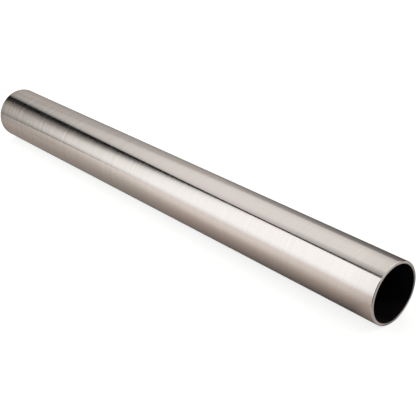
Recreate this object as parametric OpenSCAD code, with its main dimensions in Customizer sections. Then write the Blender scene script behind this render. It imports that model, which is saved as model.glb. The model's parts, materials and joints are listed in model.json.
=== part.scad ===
// Closet rod: one plain round metal tube, cut square and left open at both ends.
// It lies along X with its middle at the origin, and +Z is up.

/* [Tube] */
// Outside diameter of the tube, which end sockets and hanger hooks go round
tube_d = 33.3; // [25:0.1:50]
// Thickness of the tube's wall
wall = 1.6; // [1.2:0.1:3]
// Length of the tube from one cut face to the other
tube_l = 326.5; // [50:0.5:3600]

/* [Cut ends] */
// Radius that rounds the edge between a cut face and the outside of the tube
outer_edge_r = 0.5; // [0.1:0.05:0.7]
// Radius that breaks the edge between a cut face and the bore
inner_edge_r = 0.25; // [0.05:0.05:0.45]

/* [Hidden] */
// Satin nickel, a warm light grey
satin_nickel = [0.76, 0.74, 0.71];
// Radius of the bore, which plugs and end caps go into
bore_r = tube_d / 2 - wall;
// How far a cut reaches past the surface that it starts from
overrun = 0.2;
$fn = 96;

// What rounding an edge to radius r takes off a corner that stands at the origin with its sides
// along +x and +y
module rounding_cut(r) {
    difference() {
        translate([-overrun, -overrun])
            square(r + overrun);
        translate([r, r])
            circle(r);
    }
}

// The corners of the wall at the cut face in y = 0: the bore's edge at x = 0 and the outer edge
// at x = wall
module cut_face_rounding() {
    rounding_cut(inner_edge_r);
    translate([wall, 0])
        mirror([1, 0])
            rounding_cut(outer_edge_r);
}

// Section through one side of the tube, with x from the bore outward and y along the tube
module wall_section() {
    difference() {
        translate([0, -tube_l / 2])
            square([wall, tube_l]);
        for (far_end = [0, 1])
            mirror([0, far_end])
                translate([0, -tube_l / 2])
                    cut_face_rounding();
    }
}

module tube() {
    color(satin_nickel)
        rotate([0, 90, 0])
            rotate_extrude()
                translate([bore_r, 0])
                    wall_section();
}

tube();
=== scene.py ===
"""A short satin nickel closet rod, lying on a white table among softboxes and dark flags.

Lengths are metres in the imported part's frame: X along the rod, +Z up, -Y to the front.
"""

import json
import math

import bpy
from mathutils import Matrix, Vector


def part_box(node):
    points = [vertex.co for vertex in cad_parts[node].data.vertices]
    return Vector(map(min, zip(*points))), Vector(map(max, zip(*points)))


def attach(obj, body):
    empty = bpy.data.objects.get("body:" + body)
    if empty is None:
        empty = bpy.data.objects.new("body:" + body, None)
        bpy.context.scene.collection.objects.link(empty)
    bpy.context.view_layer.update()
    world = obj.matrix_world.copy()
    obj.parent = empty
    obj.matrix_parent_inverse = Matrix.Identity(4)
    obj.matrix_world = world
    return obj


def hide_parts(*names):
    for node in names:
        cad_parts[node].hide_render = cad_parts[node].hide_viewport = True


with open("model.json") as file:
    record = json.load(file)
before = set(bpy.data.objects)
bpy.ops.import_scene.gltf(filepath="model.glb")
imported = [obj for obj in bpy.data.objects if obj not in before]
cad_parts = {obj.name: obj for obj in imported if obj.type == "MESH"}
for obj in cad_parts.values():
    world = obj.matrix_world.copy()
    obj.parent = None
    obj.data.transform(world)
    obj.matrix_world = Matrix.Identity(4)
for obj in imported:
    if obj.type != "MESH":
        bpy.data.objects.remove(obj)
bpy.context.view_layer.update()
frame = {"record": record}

# The rod's sizes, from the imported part
MM = 0.001
mounts = {mount["name"]: mount for mount in frame["record"]["mounts"]}
_, tube_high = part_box("tube")
HALF_LENGTH = tube_high.x
OUTER_RADIUS = tube_high.z
BORE_RADIUS = mounts["bore_right"]["dims"]["r_mm"] * MM
OUTER_EDGE = HALF_LENGTH - mounts["rod_end_right"]["dims"]["length_mm"] * MM / 2
INNER_EDGE = HALF_LENGTH - mounts["bore_right"]["dims"]["length_mm"] * MM / 2

# How finely the rod and the studio's cards are meshed
ROUND_STEPS = 192
WALL_STEPS = 32
EDGE_STEPS = 8
CUT_STEPS = 3
CARD_STEPS = 12

# The zones of the rod's wall, in the order of its materials
ZONES = ("outer", "cut", "bore")

# Linear colours of the rod and the table
NICKEL = (0.66, 0.62, 0.585)
CUT_METAL = (0.64, 0.6, 0.578)
# The bore: partly dark unplated metal, partly painted shade for the deep inside of the tube
BORE_METAL_AND_SHADE = (0.024, 0.021, 0.023)
TABLE = (0.49, 0.465, 0.447)
TABLE_SHOWN = (0.98, 1, 1)
# Tint of the table's painted light and shadow, as the metal sees them
TABLE_PAINTED_LIGHT_IN_METAL = (1.052, 0.953, 0.892)

# Tints of the studio's cards
FRONT_TINT = (0.98, 1, 1.01)
TOP_TINT = (1.025, 1, 0.985)
WALL_TINT = (1.075, 1, 0.96)
LOW_WALL_TINT = (1.04, 0.96, 0.88)
GAP_END_TINT = (2, 1, 0.2)
# These three tint painted light and the rod's painted shadows on the table, as the metal shows them
PAINTED_FRONT_LIGHT_TINT = (1.03, 1, 0.985)
PAINTED_CONTACT_SHADOW_TINT = (1.12, 1, 0.91)
NEAR_PAINTED_CONTACT_SHADOW_TINT = (1.175, 1, 0.91)

# Marks of the finish: how many to the metre across and along them, detail, roughness and share
HAIR = (2600, 14, 1, 0.5, 0.2)
FINE_GROOVES = (700, 9, 2, 0.6, 0.53)
COARSE_GROOVES = (220, 6, 3, 0.6, 0.27)

# The span that holds most of a noise's values
NOISE_LOW, NOISE_HIGH = 0.3, 0.7

# How strong the marks are at the rod's far end, and where and how strong they are even
FAR_STRENGTH = 2.3
EVEN_STRENGTH = 0.52
EVEN_FROM = 0.1 * HALF_LENGTH

# How far in from each end the metal's colour darkens, and what is left of its tone there
END_DARKENING_LENGTH = 16 * MM
END_DARKENING_TONE = 0.9

# Heights and planes of the studio
TABLE_TOP = -OUTER_RADIUS
ON_TABLE = TABLE_TOP + MM
CEILING = 0.7
STUDIO_LEFT = -1.2
STUDIO_RIGHT = 1.5
BACK = 0.2
TABLE_EDGE = -0.45
TABLE_REACH = 4.0
FAR_LEFT = -4
WALL_DISTANCE = 1.6

# The white world as room light, against 1 where it is seen
ROOM_LIGHT = 0.24

# The photograph's camera
CAMERA_PLACE = (0.3694, -0.3042, 0.2225)
CAMERA_AZIMUTH = math.radians(47.81)
CAMERA_ELEVATION = math.radians(26.47)
CAMERA_LENS = 77.65
CAMERA_SENSOR = 36.0
CAMERA_CLIP_START = 0.01


def arc(centre_x, centre_radius, radius, start, end, steps):
    """Points and normals on a round edge, the angle going from outward (0) to along +X (90)."""
    rows = []
    for step in range(steps + 1):
        angle = math.radians(start + (end - start) * step / steps)
        normal = (math.sin(angle), math.cos(angle))
        rows.append((centre_x + radius * normal[0], centre_radius + radius * normal[1], *normal))
    return rows


def straight(start, end, normal, steps):
    """Points inside a straight stretch of the section, its two ends left out."""
    rows = []
    for step in range(1, steps):
        share = step / steps
        x = start[0] + (end[0] - start[0]) * share
        radius = start[1] + (end[1] - start[1]) * share
        rows.append((x, radius, *normal))
    return rows


def half_section():
    """From the middle of the outer wall round the +X end to just before the middle of the bore.

    Each row is x, radius, the normal's x and radius parts, and the zone of the face that follows.
    """
    outer_x = HALF_LENGTH - OUTER_EDGE
    inner_x = HALF_LENGTH - INNER_EDGE
    outer_arc = arc(outer_x, OUTER_RADIUS - OUTER_EDGE, OUTER_EDGE, 0, 90, EDGE_STEPS)
    inner_arc = arc(inner_x, BORE_RADIUS + INNER_EDGE, INNER_EDGE, 90, 180, EDGE_STEPS)
    outer_wall = straight((0, OUTER_RADIUS), (outer_x, OUTER_RADIUS), (0, 1), WALL_STEPS // 2)
    cut = straight(outer_arc[-1], inner_arc[0], (1, 0), CUT_STEPS)
    bore = straight((inner_x, BORE_RADIUS), (0, BORE_RADIUS), (0, -1), WALL_STEPS // 2)
    rows = [(0, OUTER_RADIUS, 0, 1, "outer")]
    rows += [(*row, "outer") for row in outer_wall + outer_arc[:-1]]
    # Most of the inner round edge takes the bore's material, with its painted shade
    rows += [(*row, "cut") for row in outer_arc[-1:] + cut + inner_arc[:EDGE_STEPS // 4]]
    rows += [(*row, "bore") for row in inner_arc[EDGE_STEPS // 4:] + bore]
    return rows


def whole_section():
    """The closed outline of the wall, the +X half followed by its mirror image."""
    right = half_section()
    following = right[1:] + [(0, BORE_RADIUS, 0, -1, "bore")]
    left = [(-x, radius, -normal_x, normal_radius, before[-1])
            for before, (x, radius, normal_x, normal_radius, _) in zip(right, following)]
    return right + left[::-1]


def tube_mesh(name):
    """Revolves the wall's section into a mesh whose U runs along the section, in metres."""
    section = whole_section()
    vertices, normals = [], []
    for x, radius, normal_x, normal_radius, _ in section:
        for turn in range(ROUND_STEPS):
            angle = 2 * math.pi * turn / ROUND_STEPS
            side, up = -math.sin(angle), math.cos(angle)
            vertices.append((x, radius * side, radius * up))
            normals.append((normal_x, normal_radius * side, normal_radius * up))
    faces, materials, places = [], [], []
    next_u = 0.0
    for index, here in enumerate(section):
        following = (index + 1) % len(section)
        there = section[following]
        u, next_u = next_u, next_u + math.hypot(there[0] - here[0], there[1] - here[1])
        for turn in range(ROUND_STEPS):
            beside = (turn + 1) % ROUND_STEPS
            faces.append((index * ROUND_STEPS + turn, index * ROUND_STEPS + beside,
                          following * ROUND_STEPS + beside, following * ROUND_STEPS + turn))
            materials.append(ZONES.index(here[-1]))
            v, next_v = [2 * math.pi * OUTER_RADIUS * (turn + step) / ROUND_STEPS for step in (0, 1)]
            places += [(u, v), (u, next_v), (next_u, next_v), (next_u, v)]
    mesh = bpy.data.meshes.new(name)
    mesh.from_pydata(vertices, [], faces)
    mesh.polygons.foreach_set("material_index", materials)
    mesh.polygons.foreach_set("use_smooth", [True] * len(faces))
    layer = mesh.uv_layers.new(name="along_and_around")
    layer.data.foreach_set("uv", [value for place in places for value in place])
    mesh.normals_split_custom_set_from_vertices(normals)
    mesh.update()
    return mesh


def empty_tree(owner):
    """The node tree of a material or a world, with nothing in it yet."""
    owner.use_nodes = True
    owner.node_tree.nodes.clear()
    return owner.node_tree


def new_node(tree, kind, inputs, **settings):
    """A node with its settings, and with each input linked to an output or set to a value."""
    node = tree.nodes.new(kind)
    for setting, value in settings.items():
        setattr(node, setting, value)
    for name, value in inputs.items():
        if isinstance(value, bpy.types.NodeSocket):
            tree.links.new(value, node.inputs[name])
        else:
            node.inputs[name].default_value = value
    return node


def calculate(tree, operation, *values):
    """The result of an operation on values, each of them a number or another node's output."""
    return new_node(tree, "ShaderNodeMath", dict(enumerate(values)), operation=operation).outputs[0]


def calculate_vector(tree, operation, *values):
    """The vector that an operation on vectors gives."""
    node = new_node(tree, "ShaderNodeVectorMath", dict(enumerate(values)), operation=operation)
    return node.outputs["Vector"]


def measure_vector(tree, operation, *values):
    """The number that an operation on vectors gives, such as a length or a dot product."""
    node = new_node(tree, "ShaderNodeVectorMath", dict(enumerate(values)), operation=operation)
    return node.outputs["Value"]


def ranged(tree, value, from_low, from_high, low, high):
    """Takes a value from one range to another and keeps it inside."""
    inputs = {"Value": value, "From Min": from_low, "From Max": from_high, "To Min": low, "To Max": high}
    return new_node(tree, "ShaderNodeMapRange", inputs).outputs[0]


def largest(tree, result, *others):
    """The largest of the given values."""
    for other in others:
        result = calculate(tree, "MAXIMUM", result, other)
    return result


def tones(tree, factor, colour, low, high):
    """A colour that goes from low to high times its brightness as the factor goes from 0 to 1."""
    dark, light = [(*[channel * level for channel in colour], 1) for level in (low, high)]
    inputs = {"Factor": factor, "A": dark, "B": light}
    return new_node(tree, "ShaderNodeMix", inputs, data_type="RGBA").outputs["Result"]


def object_place(tree):
    """The place in the object's own frame, which is the part's."""
    return tree.nodes.new("ShaderNodeTexCoord").outputs["Object"]


def line_coordinates(tree, across, around, radial):
    """Texture space for marks that run round the rod: fine across them, slow along them.

    Across them is along the rod, or away from its axis where the marks are radial.
    """
    place = object_place(tree)
    split = new_node(tree, "ShaderNodeSeparateXYZ", {0: place}).outputs
    first = split["X"]
    if radial:
        first = measure_vector(tree, "LENGTH", calculate_vector(tree, "MULTIPLY", place, (0, 1, 1)))
    parts = ((first, across), (split["Y"], around), (split["Z"], around))
    scaled = [calculate(tree, "MULTIPLY", part, scale) for part, scale in parts]
    return new_node(tree, "ShaderNodeCombineXYZ", dict(enumerate(scaled))).outputs[0]


def noise(tree, across, around, detail, roughness, radial=False):
    """Noise that is drawn out round the rod."""
    space = line_coordinates(tree, across, around, radial)
    inputs = {"Vector": space, "Scale": 1, "Detail": detail, "Roughness": roughness}
    return new_node(tree, "ShaderNodeTexNoise", inputs).outputs["Fac"]


def marks_of_one_size(tree, across, around, detail, roughness, share, radial):
    """Marks of one size, from 0 to their share of all the marks."""
    texture = noise(tree, across, around, detail, roughness, radial)
    return ranged(tree, texture, NOISE_LOW, NOISE_HIGH, 0, share)


def brushed_metal(name, colour, roughness, anisotropy, streaks, groove_depth, radial=False):
    """Metal brushed round the rod, which blurs what it reflects along the section.

    The streaks say how far the marks take its colour and its roughness either way. The marks are
    stronger towards the far end, and the metal's colour is darker towards both ends.
    """
    material = bpy.data.materials.new(name)
    tree = empty_tree(material)
    fine = marks_of_one_size(tree, *FINE_GROOVES, radial)
    coarse = marks_of_one_size(tree, *COARSE_GROOVES, radial)
    hair = marks_of_one_size(tree, *HAIR, radial)
    grooves = calculate(tree, "ADD", fine, coarse)
    marks = calculate(tree, "ADD", grooves, hair)

    along = new_node(tree, "ShaderNodeSeparateXYZ", {0: object_place(tree)}).outputs["X"]
    strength = ranged(tree, along, -HALF_LENGTH, EVEN_FROM, FAR_STRENGTH, EVEN_STRENGTH)
    middle = 0.5
    stronger = calculate(tree, "MULTIPLY_ADD", calculate(tree, "SUBTRACT", marks, middle), strength, middle)

    tone = tones(tree, stronger, colour, 1 - streaks, 1 + streaks)
    from_middle = calculate(tree, "ABSOLUTE", along)
    # The colour darkens towards both ends
    end_darkening = ranged(tree, from_middle, HALF_LENGTH - END_DARKENING_LENGTH, HALF_LENGTH, 1, END_DARKENING_TONE)
    end_darkened = new_node(tree, "ShaderNodeVectorMath", {0: tone, "Scale": end_darkening}, operation="SCALE")
    rough = ranged(tree, stronger, 0, 1, roughness * (1 - streaks), roughness * (1 + streaks))
    tangent = new_node(tree, "ShaderNodeTangent", {}, direction_type="UV_MAP", uv_map="along_and_around")
    bump = new_node(tree, "ShaderNodeBump", {"Strength": 1, "Distance": groove_depth, "Height": grooves})
    shader = new_node(tree, "ShaderNodeBsdfPrincipled", {
        "Base Color": end_darkened.outputs[0],
        "Metallic": 1,
        "Roughness": rough,
        "Anisotropic": anisotropy,
        "Tangent": tangent.outputs[0],
        "Normal": bump.outputs[0],
    })
    new_node(tree, "ShaderNodeOutputMaterial", {"Surface": shader.outputs[0]})
    return material


def dark_bore_and_painted_shade(name):
    """The unplated inside, dark with patches of oxide and dull. Its near-black is partly painted shade
    for the deep inside of the tube.
    """
    material = bpy.data.materials.new(name)
    tree = empty_tree(material)
    darkest, lightest = 0.6, 1.5
    smoothest, roughest = 0.55, 0.7
    patches = noise(tree, across=60, around=90, detail=5, roughness=0.65)
    spread = ranged(tree, patches, NOISE_LOW, NOISE_HIGH, 0, 1)
    tone = tones(tree, spread, BORE_METAL_AND_SHADE, darkest, lightest)
    rough = ranged(tree, patches, NOISE_LOW, NOISE_HIGH, smoothest, roughest)
    inputs = {"Base Color": tone, "Metallic": 1, "Roughness": rough}
    shader = new_node(tree, "ShaderNodeBsdfPrincipled", inputs)
    new_node(tree, "ShaderNodeOutputMaterial", {"Surface": shader.outputs[0]})
    return material


def make_tube():
    """The rod itself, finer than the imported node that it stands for."""
    mesh = tube_mesh("rod_tube")
    mesh.materials.append(brushed_metal("satin_nickel", NICKEL, roughness=0.13, anisotropy=0.9,
                                        streaks=0.0909, groove_depth=0.015 * MM))
    mesh.materials.append(brushed_metal("cut_face", CUT_METAL, roughness=0.3, anisotropy=0.3,
                                        streaks=0.1364, groove_depth=0.01 * MM, radial=True))
    mesh.materials.append(dark_bore_and_painted_shade("bare_bore_and_painted_shade"))
    tube = bpy.data.objects.new("rod_tube", mesh)
    bpy.context.scene.collection.objects.link(tube)
    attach(tube, "root")
    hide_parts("tube")


def stage_quad(name, corners, material, levels=None):
    """A flat or slightly twisted piece of the studio, with a radiance at each of its corners."""
    steps = 1 if levels is None else CARD_STEPS
    first, second, third, fourth = [Vector(corner) for corner in corners]
    places, radiances = [], []
    for row in range(steps + 1):
        for column in range(steps + 1):
            across, up = column / steps, row / steps
            places.append(first.lerp(second, across).lerp(fourth.lerp(third, across), up))
            if levels is not None:
                low = levels[0] + (levels[1] - levels[0]) * across
                high = levels[3] + (levels[2] - levels[3]) * across
                radiances.append(low + (high - low) * up)
    faces = []
    for row in range(steps):
        for column in range(steps):
            start = row * (steps + 1) + column
            faces.append((start, start + 1, start + steps + 2, start + steps + 1))
    mesh = bpy.data.meshes.new(name)
    mesh.from_pydata(places, [], faces)
    mesh.materials.append(material)
    if levels is not None:
        layer = mesh.attributes.new("radiance", "FLOAT", "POINT")
        layer.data.foreach_set("value", radiances)
    quad = bpy.data.objects.new(name, mesh)
    bpy.context.scene.collection.objects.link(quad)
    return quad


def card(name, corners, levels, tint=(1, 1, 1), lights=False):
    """A softbox, a wall, a black flag or painted light or shade on the table, which the camera itself
    doesn't see.

    The levels are the radiance at the four corners, or one for all of them. A card that lights
    nothing only shows in the metal.
    """
    material = bpy.data.materials.new(name)
    tree = empty_tree(material)
    radiance = new_node(tree, "ShaderNodeAttribute", {}, attribute_name="radiance").outputs["Fac"]
    light = new_node(tree, "ShaderNodeEmission", {"Color": (*tint, 1), "Strength": radiance})
    new_node(tree, "ShaderNodeOutputMaterial", {"Surface": light.outputs[0]})
    if isinstance(levels, (int, float)):
        levels = [levels] * 4
    quad = stage_quad(name, corners, material, levels)
    quad.visible_camera = False
    quad.visible_diffuse = lights
    quad.visible_shadow = lights


def level_at(height, *places):
    """Corners at one height, from their X and Y."""
    return [(x, y, height) for x, y in places]


def on_table(front, back, front_ends, back_ends):
    """Corners of a card laid on the table: where its front and back edges run, and their ends in X."""
    return level_at(ON_TABLE, (front_ends[0], front), (front_ends[1], front),
                    (back_ends[1], back), (back_ends[0], back))


def standing(y, left, right, left_top, right_top, left_foot=TABLE_TOP, right_foot=TABLE_TOP):
    """Corners of an upright card along the rod, which stands on the table where no foot is given."""
    return [(left, y, left_foot), (right, y, right_foot), (right, y, right_top), (left, y, left_top)]


def round_rod(left, right, start, end):
    """Corners of a far wall whose long edges lie on a circle round the rod's axis.

    It goes from left to right in X, and from start to end in degrees from straight above towards
    the front.
    """
    corners = []
    for x, turn in ((left, start), (right, start), (right, end), (left, end)):
        angle = math.radians(turn)
        corners.append((x, -WALL_DISTANCE * math.sin(angle), WALL_DISTANCE * math.cos(angle)))
    return corners


def make_front_softbox():
    """The softbox in front of the rod: its face, its foot down to the table and its dimmer end."""
    end, left, right = -1.02, -0.66, 0.22
    face, foot, hem = -0.65, -0.68, 0.14
    low_end, low_left, low_right = [(x, face, hem) for x in (end, left, right)]
    foot_end, foot_left, foot_right = (end, foot, 0.012), (left, foot, TABLE_TOP), (right, foot, TABLE_TOP)
    top_left, top_right = (-0.68, -0.443, 0.965), (right, -0.55, 0.67)
    end_top_left, end_top_right = (-0.89, -0.438, 0.968), (-0.68, -0.443, 0.968)
    card("front_softbox", (low_left, low_right, top_right, top_left),
         (1.43, 1.43, 1.47, 1.47), FRONT_TINT, lights=True)
    card("front_softbox_foot", (foot_left, foot_right, low_right, low_left),
         (1.12, 1.19, 1.43, 1.43), FRONT_TINT, lights=True)
    card("front_softbox_end", (low_end, low_left, end_top_right, end_top_left),
         (0.83, 1.43, 1.47, 1.03), lights=True)
    card("front_softbox_corner", (foot_end, foot_left, low_left, low_end),
         (0.52, 1.12, 1.43, 0.83), lights=True)


def make_top_softbox():
    """The softbox above, with a dimmer strip along its front and a dimmer end."""
    front, middle, back = -0.04, 0.45, 1.7
    lip_front, strip_front = -0.292, -0.3
    lip_right, right = -0.2, 0.5
    front_left, middle_left, back_left = (-0.634, front), (-0.788, middle), (-1.18, back)
    lip_left, end_right = (-0.58, -0.234), (-0.622, -0.085)
    end_lip_left, end_left, end_back_left = (-1.163, -0.05), (-1.24, 0.17), (-1.77, back)
    card("top_softbox", level_at(CEILING, front_left, (right, front), (right, middle), middle_left),
         (1.01, 1.06, 1.06, 1.01), TOP_TINT, lights=True)
    card("top_softbox_back", level_at(CEILING, middle_left, (right, middle), (right, back), back_left),
         (1.01, 1.06, 0, 0.82), TOP_TINT, lights=True)
    card("top_softbox_lip", level_at(CEILING, lip_left, (lip_right, lip_front),
                                     (lip_right, front), front_left),
         (0.87, 0.24, 0.94, 1.03), TOP_TINT, lights=True)
    card("top_softbox_front", level_at(CEILING, (lip_right, strip_front), (right, strip_front),
                                       (right, front), (lip_right, front)),
         (0.45, 0.45, 0.85, 0.85), TOP_TINT, lights=True)
    card("top_softbox_end", level_at(CEILING, end_left, end_right, back_left, end_back_left),
         (0.45, 1, 0.97, 0.13), TOP_TINT, lights=True)
    card("top_softbox_end_lip", level_at(CEILING, end_lip_left, lip_left, end_right, end_left),
         (0.05, 0.87, 1, 0.45), TOP_TINT, lights=True)


def make_back_wall():
    """The low wall behind the rod, dark towards the near end, with a darker frame along its top."""
    shade_left, dark_left, right = -0.13, 0.12, 0.5
    shade_top, dark_top = 0.134, 0.092
    card("back_wall", standing(BACK, STUDIO_LEFT, shade_left, left_top=0.53, right_top=shade_top),
         (0.45, 0.31, 0.6, 0.65), WALL_TINT)
    card("back_frame", standing(BACK - MM, left=-0.9, right=shade_left, left_top=0.435, right_top=0.137,
                                left_foot=0.359, right_foot=0.1),
         (0.48, 0.52, 0.6, 0.16), WALL_TINT)
    card("back_shade", standing(BACK, shade_left, dark_left, left_top=shade_top, right_top=dark_top),
         (0.28, 0.03, 0.13, 0.57), WALL_TINT)
    card("back_dark", standing(BACK, dark_left, right, left_top=dark_top, right_top=dark_top),
         (0.06, 0.06, 0.16, 0.16), WALL_TINT)


def make_far_walls():
    """The walls past the rod's far end, and the black flags in the gap between the softboxes."""
    flag_joint, flag_right, wall_right = -0.9, 0.8, -0.6
    left_foot, gap_start, gap_end, wall_middle, wall_foot = -55, 0, 25, 56, 90.5
    card("left_wall", round_rod(FAR_LEFT, STUDIO_LEFT, left_foot, gap_start), 0.35, WALL_TINT)
    card("gap_flag", round_rod(FAR_LEFT, flag_joint, gap_start, gap_end), 0.005)
    card("gap_flag_end", round_rod(flag_joint, flag_right, gap_start, gap_end), 0.012, GAP_END_TINT)
    card("front_wall", round_rod(FAR_LEFT, wall_right, gap_end, wall_middle),
         (0.02, 0.02, 0.46, 0.46), LOW_WALL_TINT)
    card("low_wall", round_rod(FAR_LEFT, wall_right, wall_middle, wall_foot),
         (0.455, 0.455, 0.33, 0.33), LOW_WALL_TINT)


def make_table_edge():
    """A low strip across the front of the table, in two stretches."""
    joint, joint_top = -0.6, 0.006
    card("table_edge", standing(TABLE_EDGE, left=-2.5, right=joint, left_top=0.007, right_top=joint_top),
         (0.25, 0.4, 0.4, 0.25))
    card("table_edge_end", standing(TABLE_EDGE, left=joint, right=-0.46, left_top=joint_top,
                                    right_top=0.008),
         (0.4, 1.15, 1.15, 0.4))


def make_right_softbox():
    """The softbox to the right and behind, which the near cut face shows."""
    front, back = 0.3, 2.2
    low, high = 0.25, 1.3
    low_x, high_x = 0.62, 0.9
    corners = ((low_x, front, low), (low_x, back, low), (high_x, back, high), (high_x, front, high))
    card("right_softbox", corners, 1.7, lights=True)


def make_table_cards():
    """Painted light and shade that only the metal shows on the table, past its painted pool of light.

    These are painted shade on its left, painted light on its front, a black card for painted shade
    to the right, and the rod's painted shadow behind it and at its near end.
    """
    before_rod, behind_rod = -0.02, 0.022
    painted_light_right = 0.2
    behind_left = -0.5
    past_end = (0.164, 0.19)
    # Painted shade, painted light and the rod's painted shadow on the table, shown only in the metal
    card("table_painted_shade", on_table(front=TABLE_EDGE, back=-0.075, front_ends=(STUDIO_LEFT, -0.42),
                                 back_ends=(STUDIO_LEFT, -0.26)),
         (0.29, 0.36, 0.37, 0.29), LOW_WALL_TINT)
    card("table_front_painted_light", on_table(front=-0.67, back=-0.2, front_ends=(-0.514, painted_light_right),
                                 back_ends=(-0.313, painted_light_right)),
         (1.1, 1.25, 1.02, 0.92), PAINTED_FRONT_LIGHT_TINT)
    card("front_right_painted_shade", on_table(front=-0.5, back=before_rod, front_ends=(0.165, STUDIO_RIGHT),
                                      back_ends=(0.18, STUDIO_RIGHT)), 0.03)
    card("painted_shadow_behind", on_table(front=behind_rod, back=BACK, front_ends=(behind_left, 0.186),
                                  back_ends=(behind_left, 0.2)), (0.42, 0.14, 0.08, 0.36))
    card("painted_end_shade", on_table(before_rod, behind_rod, past_end, past_end), 0.52, WALL_TINT)


def make_painted_contact_shadows():
    """The rod's painted shadow close in front of where it lies, in three stretches towards the near end."""
    front, back = -0.036, -0.01
    for name, ends, levels, tint in (
            ("painted_contact_shadow", (-0.2, 0), (0.51, 0.585, 0.195, 0.32), PAINTED_CONTACT_SHADOW_TINT),
            ("painted_contact_shadow_near", (0, 0.147), (0.585, 0.545, 0.06, 0.195), NEAR_PAINTED_CONTACT_SHADOW_TINT),
            ("painted_contact_shadow_end", (0.147, 0.165), (0.545, 0.96, 0.22, 0.06), NEAR_PAINTED_CONTACT_SHADOW_TINT)):
        card(name, on_table(front, back, ends, ends), levels, tint)


def make_dark_sides():
    """The dark studio on the camera's side of the rod and to its right."""
    dark = 0.04
    front, left, top = -0.7, 0.24, 0.9
    back_foot, back_top = (STUDIO_RIGHT, 0.1, TABLE_TOP), (STUDIO_RIGHT, 0.0, 0.85)
    corners = standing(front, left, STUDIO_RIGHT, left_top=top, right_top=top)
    _, low_right, high_right, _ = corners
    card("camera_side", corners, dark)
    card("right_side", (low_right, back_foot, back_top, high_right), dark)


def painted_pool_and_shadow(tree):
    """How bright the table's painted light is in the rod: 0 under it and beyond its far end, else up to 1.

    This is a painted pool of light with the rod's painted shadow in it. The shadow fades with the third
    power of the distance from its axis, and faster past its ends. The light comes up from the far end
    on, along a slanting line, and sinks a little towards the near end.
    """
    weight_past_end = 4
    fading_power = -3
    shade_reach = 1.847 * OUTER_RADIUS
    slant = 1.65
    full_from, sinking_from = 0.5 * HALF_LENGTH, 0.25 * HALF_LENGTH
    full, at_near_end = 0.94, 0.76
    place = object_place(tree)
    folded = calculate_vector(tree, "ABSOLUTE", place)
    beyond = calculate_vector(tree, "SUBTRACT", folded, (HALF_LENGTH, 0, 0))
    outside = calculate_vector(tree, "MAXIMUM", beyond, (0, MM, 0))
    away = measure_vector(tree, "DOT_PRODUCT", outside, (weight_past_end, 1, 0))
    shading = calculate(tree, "POWER", away, fading_power)
    from_rod = ranged(tree, shading, 0, shade_reach ** fading_power, 1, 0)
    slanting = measure_vector(tree, "DOT_PRODUCT", place, (1, -slant, 0))
    from_end = ranged(tree, slanting, -HALF_LENGTH, full_from, 0, full)
    lengthwise = measure_vector(tree, "DOT_PRODUCT", place, (1, 0, 0))
    near_end = ranged(tree, lengthwise, sinking_from, HALF_LENGTH, 1, at_near_end)
    return calculate(tree, "MULTIPLY", calculate(tree, "MULTIPLY", from_rod, from_end), near_end)


def glow(tree, strength, colour, *rays):
    """Light from the table itself, for some kinds of ray only."""
    path = tree.nodes.new("ShaderNodeLightPath").outputs
    kind = largest(tree, *[path[ray] for ray in rays])
    inputs = {"Color": (*colour, 1), "Strength": calculate(tree, "MULTIPLY", kind, strength)}
    return new_node(tree, "ShaderNodeEmission", inputs).outputs[0]


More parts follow.
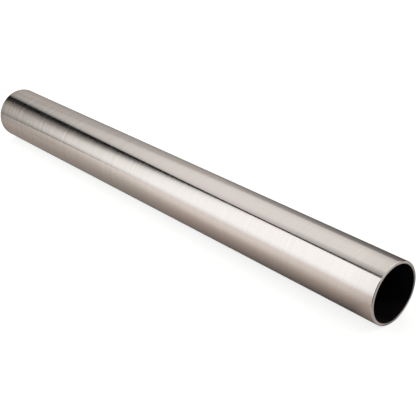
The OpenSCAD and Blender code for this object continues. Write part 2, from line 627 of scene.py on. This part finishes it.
def make_table():
    """A white table. It is shown a little brighter than it is lit, so that it fades to white.

    In the metal it glows with a painted pool of light and the rod's painted shadow.
    """
    material = bpy.data.materials.new("table")
    tree = empty_tree(material)
    near, far = 0.3, 1.2
    level_near, level_far, level_in_metal = 0.76, 1.0, 0.63
    matte = new_node(tree, "ShaderNodeBsdfDiffuse", {"Color": (*TABLE, 1)}).outputs[0]
    distance = measure_vector(tree, "LENGTH", object_place(tree))
    shown = ranged(tree, distance, near, far, level_near, level_far)
    # The metal sees the table glow with a painted pool of light and the rod's painted shadow
    painted_light_in_metal = calculate(tree, "MULTIPLY", painted_pool_and_shadow(tree), level_in_metal)
    to_camera = glow(tree, shown, TABLE_SHOWN, "Is Camera Ray")
    painted_light_to_metal = glow(tree, painted_light_in_metal, TABLE_PAINTED_LIGHT_IN_METAL, "Is Glossy Ray", "Is Transmission Ray")
    surface = new_node(tree, "ShaderNodeAddShader", {0: matte, 1: to_camera}).outputs[0]
    surface = new_node(tree, "ShaderNodeAddShader", {0: surface, 1: painted_light_to_metal}).outputs[0]
    new_node(tree, "ShaderNodeOutputMaterial", {"Surface": surface})
    reach = TABLE_REACH
    corners = level_at(TABLE_TOP, (-reach, -reach), (reach, -reach), (reach, reach), (-reach, reach))
    stage_quad("table", corners, material)


def make_world():
    """White wherever the camera or a reflection meets it, and grey as room light."""
    world = bpy.data.worlds.new("studio")
    bpy.context.scene.world = world
    tree = empty_tree(world)
    path = tree.nodes.new("ShaderNodeLightPath").outputs
    seen = largest(tree, path["Is Camera Ray"], path["Is Glossy Ray"], path["Is Transmission Ray"])
    inputs = {"Color": (1, 1, 1, 1), "Strength": ranged(tree, seen, 0, 1, ROOM_LIGHT, 1)}
    background = new_node(tree, "ShaderNodeBackground", inputs)
    new_node(tree, "ShaderNodeOutputWorld", {"Surface": background.outputs[0]})


def make_camera():
    """The photograph's camera, found from the rod's outline and the ellipse of its mouth."""
    data = bpy.data.cameras.new("camera")
    data.lens = CAMERA_LENS
    data.sensor_width = CAMERA_SENSOR
    data.clip_start = CAMERA_CLIP_START
    camera = bpy.data.objects.new("camera", data)
    bpy.context.scene.collection.objects.link(camera)
    camera.location = CAMERA_PLACE
    level = math.cos(CAMERA_ELEVATION)
    ahead = Vector((-math.sin(CAMERA_AZIMUTH) * level, math.cos(CAMERA_AZIMUTH) * level,
                    -math.sin(CAMERA_ELEVATION)))
    camera.rotation_mode = "QUATERNION"
    camera.rotation_quaternion = ahead.to_track_quat("-Z", "Y")
    bpy.context.scene.camera = camera


make_tube()
make_table()
make_front_softbox()
make_top_softbox()
make_back_wall()
make_far_walls()
make_table_edge()
make_right_softbox()
make_table_cards()
make_painted_contact_shadows()
make_dark_sides()
make_world()
make_camera()
bpy.context.scene.view_settings.view_transform = "Standard"
